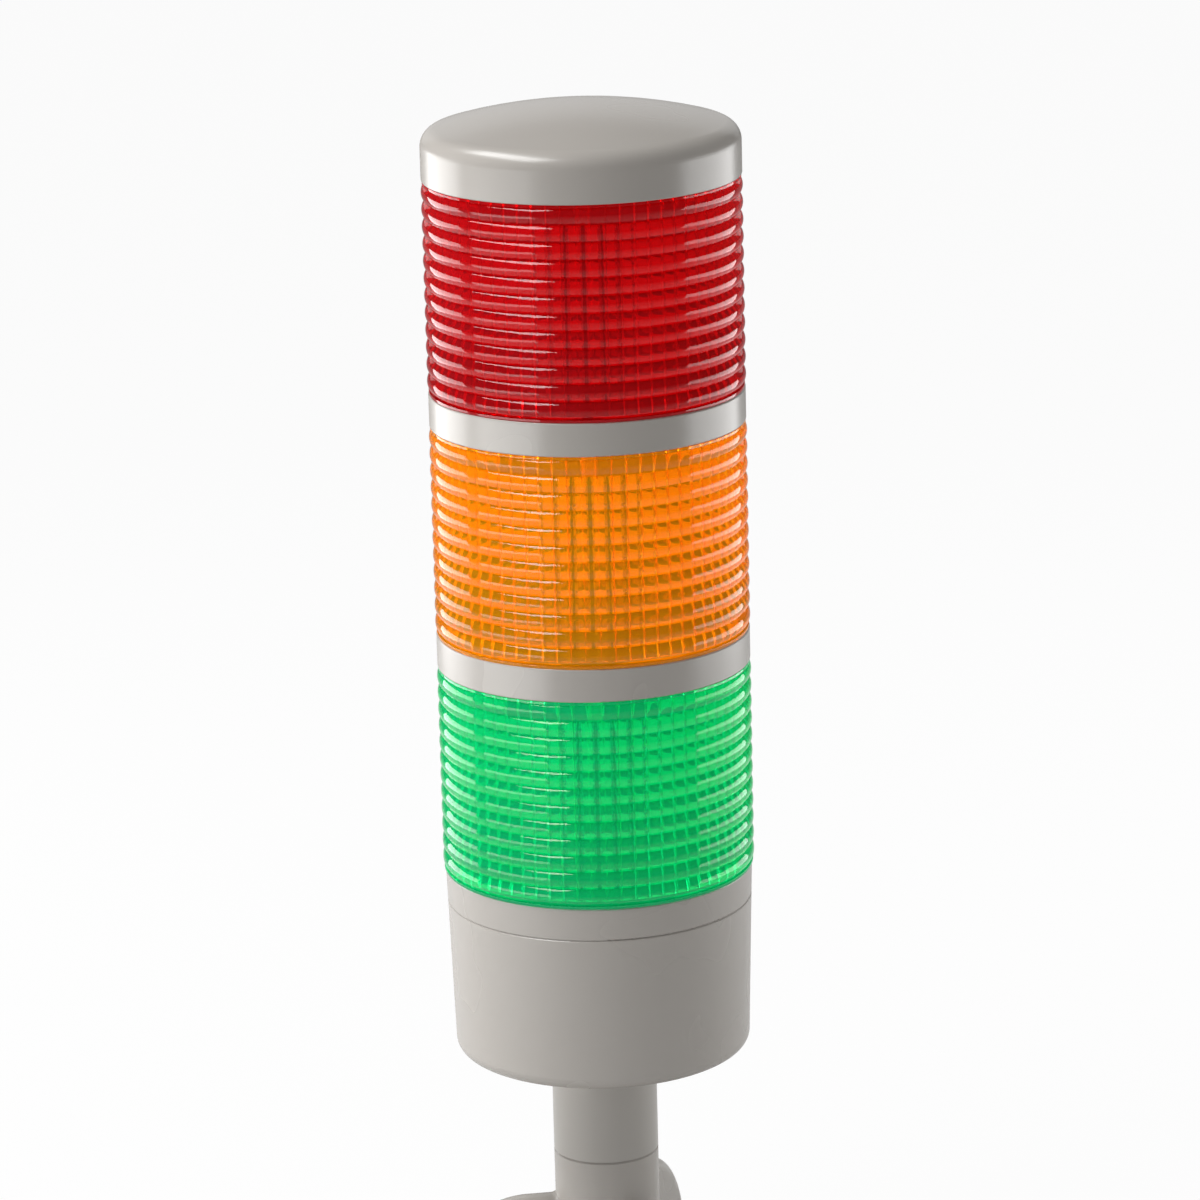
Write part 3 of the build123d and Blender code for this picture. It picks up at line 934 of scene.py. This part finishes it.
@dataclass
class Lamp:
    """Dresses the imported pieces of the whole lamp."""

    finishes: Finishes

    def build(self) -> None:
        """Gives every node its finish."""
        housing = self.finishes.housing.make()
        board = self.finishes.board.make()
        rubber = self.finishes.rubber.make()
        brass = self.finishes.brass.make()
        zinc = self.finishes.zinc.make()
        terminal = self.finishes.terminal.make()
        for node in ("top_cap", "base_housing", "foot"):
            dress(node, housing)
        dress("stand_pipe", self.finishes.pipe.make())
        dress("cap_seal", rubber)
        for node in ("wiring_board", "base_contact_disc"):
            dress(node, board)
        for node in ("wiring_board_screws", "terminal_screws", "clamp_washer", "hollow_bolt"):
            dress(node, zinc)
        for node in ("contact_pillar", "terminal_block"):
            dress(node, terminal)
        for tier in Tier:
            name = tier.value
            LensShell(tier).build(self.finishes)
            dress(f"{name}_ring", housing)
            dress(f"{name}_seal", rubber)
            for part in ("base_board", "led_board", "contact_disc"):
                dress(f"{name}_{part}", board)
            dress(f"{name}_board_screws", zinc)
            dress(f"{name}_contact_strips", brass)
            low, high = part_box(f"{name}_leds")
            dress(f"{name}_leds", self.finishes.led.make_for(low[2], high[2]))


@dataclass
class Softbox:
    """A soft lamp that stands on a circle round the tower and faces its axis."""

    name: str
    bearing: float
    height: float
    distance: float
    width: float
    tall: float
    radiance: float
    aim_height: float = 0.12
    seen_through: bool = True

    def build(self) -> None:
        """Makes the area lamp, its bearing counted from the camera's side towards +X."""
        data = bpy.data.lights.new(self.name, "AREA")
        data.shape = "RECTANGLE"
        data.size = self.width
        data.size_y = self.tall
        data.energy = self.radiance * math.pi * self.width * self.tall
        made = bpy.data.objects.new(self.name, data)
        bpy.context.collection.objects.link(made)
        turn = math.radians(self.bearing)
        spot = Vector((math.sin(turn) * self.distance, -math.cos(turn) * self.distance, self.height))
        aim = Vector((0, 0, self.aim_height)) - spot
        made.location = spot
        made.rotation_mode = "QUATERNION"
        made.rotation_quaternion = aim.to_track_quat("-Z", "Y")
        made.visible_camera = False
        made.visible_transmission = self.seen_through
        LOG.info("softbox %s", self.name)


@dataclass
class Studio:
    """Pale floor, soft lamps and surroundings."""

    floor_size: float = 12.0
    floor_colour: Colour = (0.62, 0.62, 0.62)
    floor_shade: float = 0.97
    floor_tone_scale: float = 3.0
    floor_whiteness: float = 0.95
    ambient: float = 0.28
    mirrored: float = 0.06
    # Each lamp: name, bearing, height, distance, width, tall, radiance.
    lamps: Sequence[Softbox] = (
        Softbox("upper_left_softbox", -75, 0.63, 0.32, 0.54, 0.19, 12.0),
        Softbox("left_back_softbox", -118, 0.09, 0.42, 0.34, 0.18, 4.8),
        Softbox("left_front_softbox", -60, 0.06, 0.36, 0.34, 0.12, 4.5),
        Softbox("right_softbox", 106, 0.09, 0.42, 0.50, 0.18, 3.9),
        Softbox("back_panel", 180, 0.30, 0.50, 0.60, 0.24, 0.6, seen_through=False),
    )

    def floor(self) -> None:
        """A floor that is white to the eye and keeps the lamp's shadow."""
        name = "studio_floor"
        bm = bmesh.new()
        bmesh.ops.create_grid(bm, x_segments=1, y_segments=1, size=self.floor_size / 2)
        mesh = bpy.data.meshes.new(name)
        bm.to_mesh(mesh)
        bm.free()
        made = bpy.data.objects.new(name, mesh)
        bpy.context.collection.objects.link(made)
        material, shader = new_material(name, self.floor_colour)
        camera, through = shader.rays("Camera", "Transmission")
        seen = camera.larger_of(through)
        tone = shader.noise(self.floor_tone_scale, detail=2.0)
        colour = shader.mix(tone, self.floor_colour, shade(self.floor_colour, self.floor_shade))
        plain = shader.node("ShaderNodeBsdfDiffuse", inputs={"Color": colour}).outputs[0]
        white = shader.node("ShaderNodeEmission", inputs={"Color": WHITE, "Strength": 1.0}).outputs[0]
        ends = {0: seen * self.floor_whiteness, 1: plain, 2: white}
        mixed = shader.node("ShaderNodeMixShader", inputs=ends)
        shader.node("ShaderNodeOutputMaterial", inputs={"Surface": mixed.outputs[0]})
        mesh.materials.append(material)

    def world(self) -> None:
        """White to the eye and through the lenses, softer as a light."""
        world = bpy.data.worlds.new("studio")
        bpy.context.scene.world = world
        shader = Shader(world)
        camera, through, glossy = shader.rays("Camera", "Transmission", "Glossy")
        seen = camera.larger_of(through)
        mirrored = glossy * (1 - seen)
        strength = self.ambient + seen * (1.0 - self.ambient) + mirrored * (self.mirrored - self.ambient)
        background = shader.node("ShaderNodeBackground", inputs={"Color": WHITE, "Strength": strength})
        shader.node("ShaderNodeOutputWorld", inputs={"Surface": background.outputs[0]})

    def build(self) -> None:
        """Makes the floor, the world and the lamps."""
        self.floor()
        self.world()
        for lamp in self.lamps:
            lamp.build()


@dataclass
class Viewpoint:
    """The photograph's camera: in front, above, long lens, tipped a little."""

    distance: float = 0.778
    height: float = 0.3345
    pitch: float = 15.27
    roll: float = 1.47
    focal_pixels: float = 5085.0
    offset_pixels: float = 7.7
    picture_pixels: float = 1200.0
    sensor: float = 36.0
    clip_start: float = 0.01

    def build(self) -> None:
        """Makes the camera and sets it as the scene's."""
        data = bpy.data.cameras.new("viewpoint")
        data.sensor_width = self.sensor
        data.lens = self.focal_pixels / self.picture_pixels * self.sensor
        data.shift_x = self.offset_pixels / self.picture_pixels
        data.clip_start = self.clip_start
        made = bpy.data.objects.new("viewpoint", data)
        bpy.context.collection.objects.link(made)
        down = math.radians(self.pitch)
        lean = math.radians(self.roll)
        ahead = Vector((0, math.cos(down), -math.sin(down)))
        level_up = Vector((0, math.sin(down), math.cos(down)))
        level_right = Vector((1, 0, 0))
        right = math.cos(lean) * level_right - math.sin(lean) * level_up
        up = math.sin(lean) * level_right + math.cos(lean) * level_up
        turn = Matrix((right, up, -ahead)).transposed()
        made.rotation_mode = "QUATERNION"
        made.rotation_quaternion = turn.to_quaternion()
        made.location = (0, -self.distance, self.height)
        bpy.context.scene.camera = made
        LOG.info("viewpoint set")


def main() -> None:
    """Builds the pieces in order, then the studio and the camera."""
    logging.basicConfig(level=logging.INFO)
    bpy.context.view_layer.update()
    Lamp(Finishes()).build()
    Studio().build()
    Viewpoint().build()
    bpy.context.scene.view_settings.view_transform = "Standard"


if __name__ == "__main__":
    main()
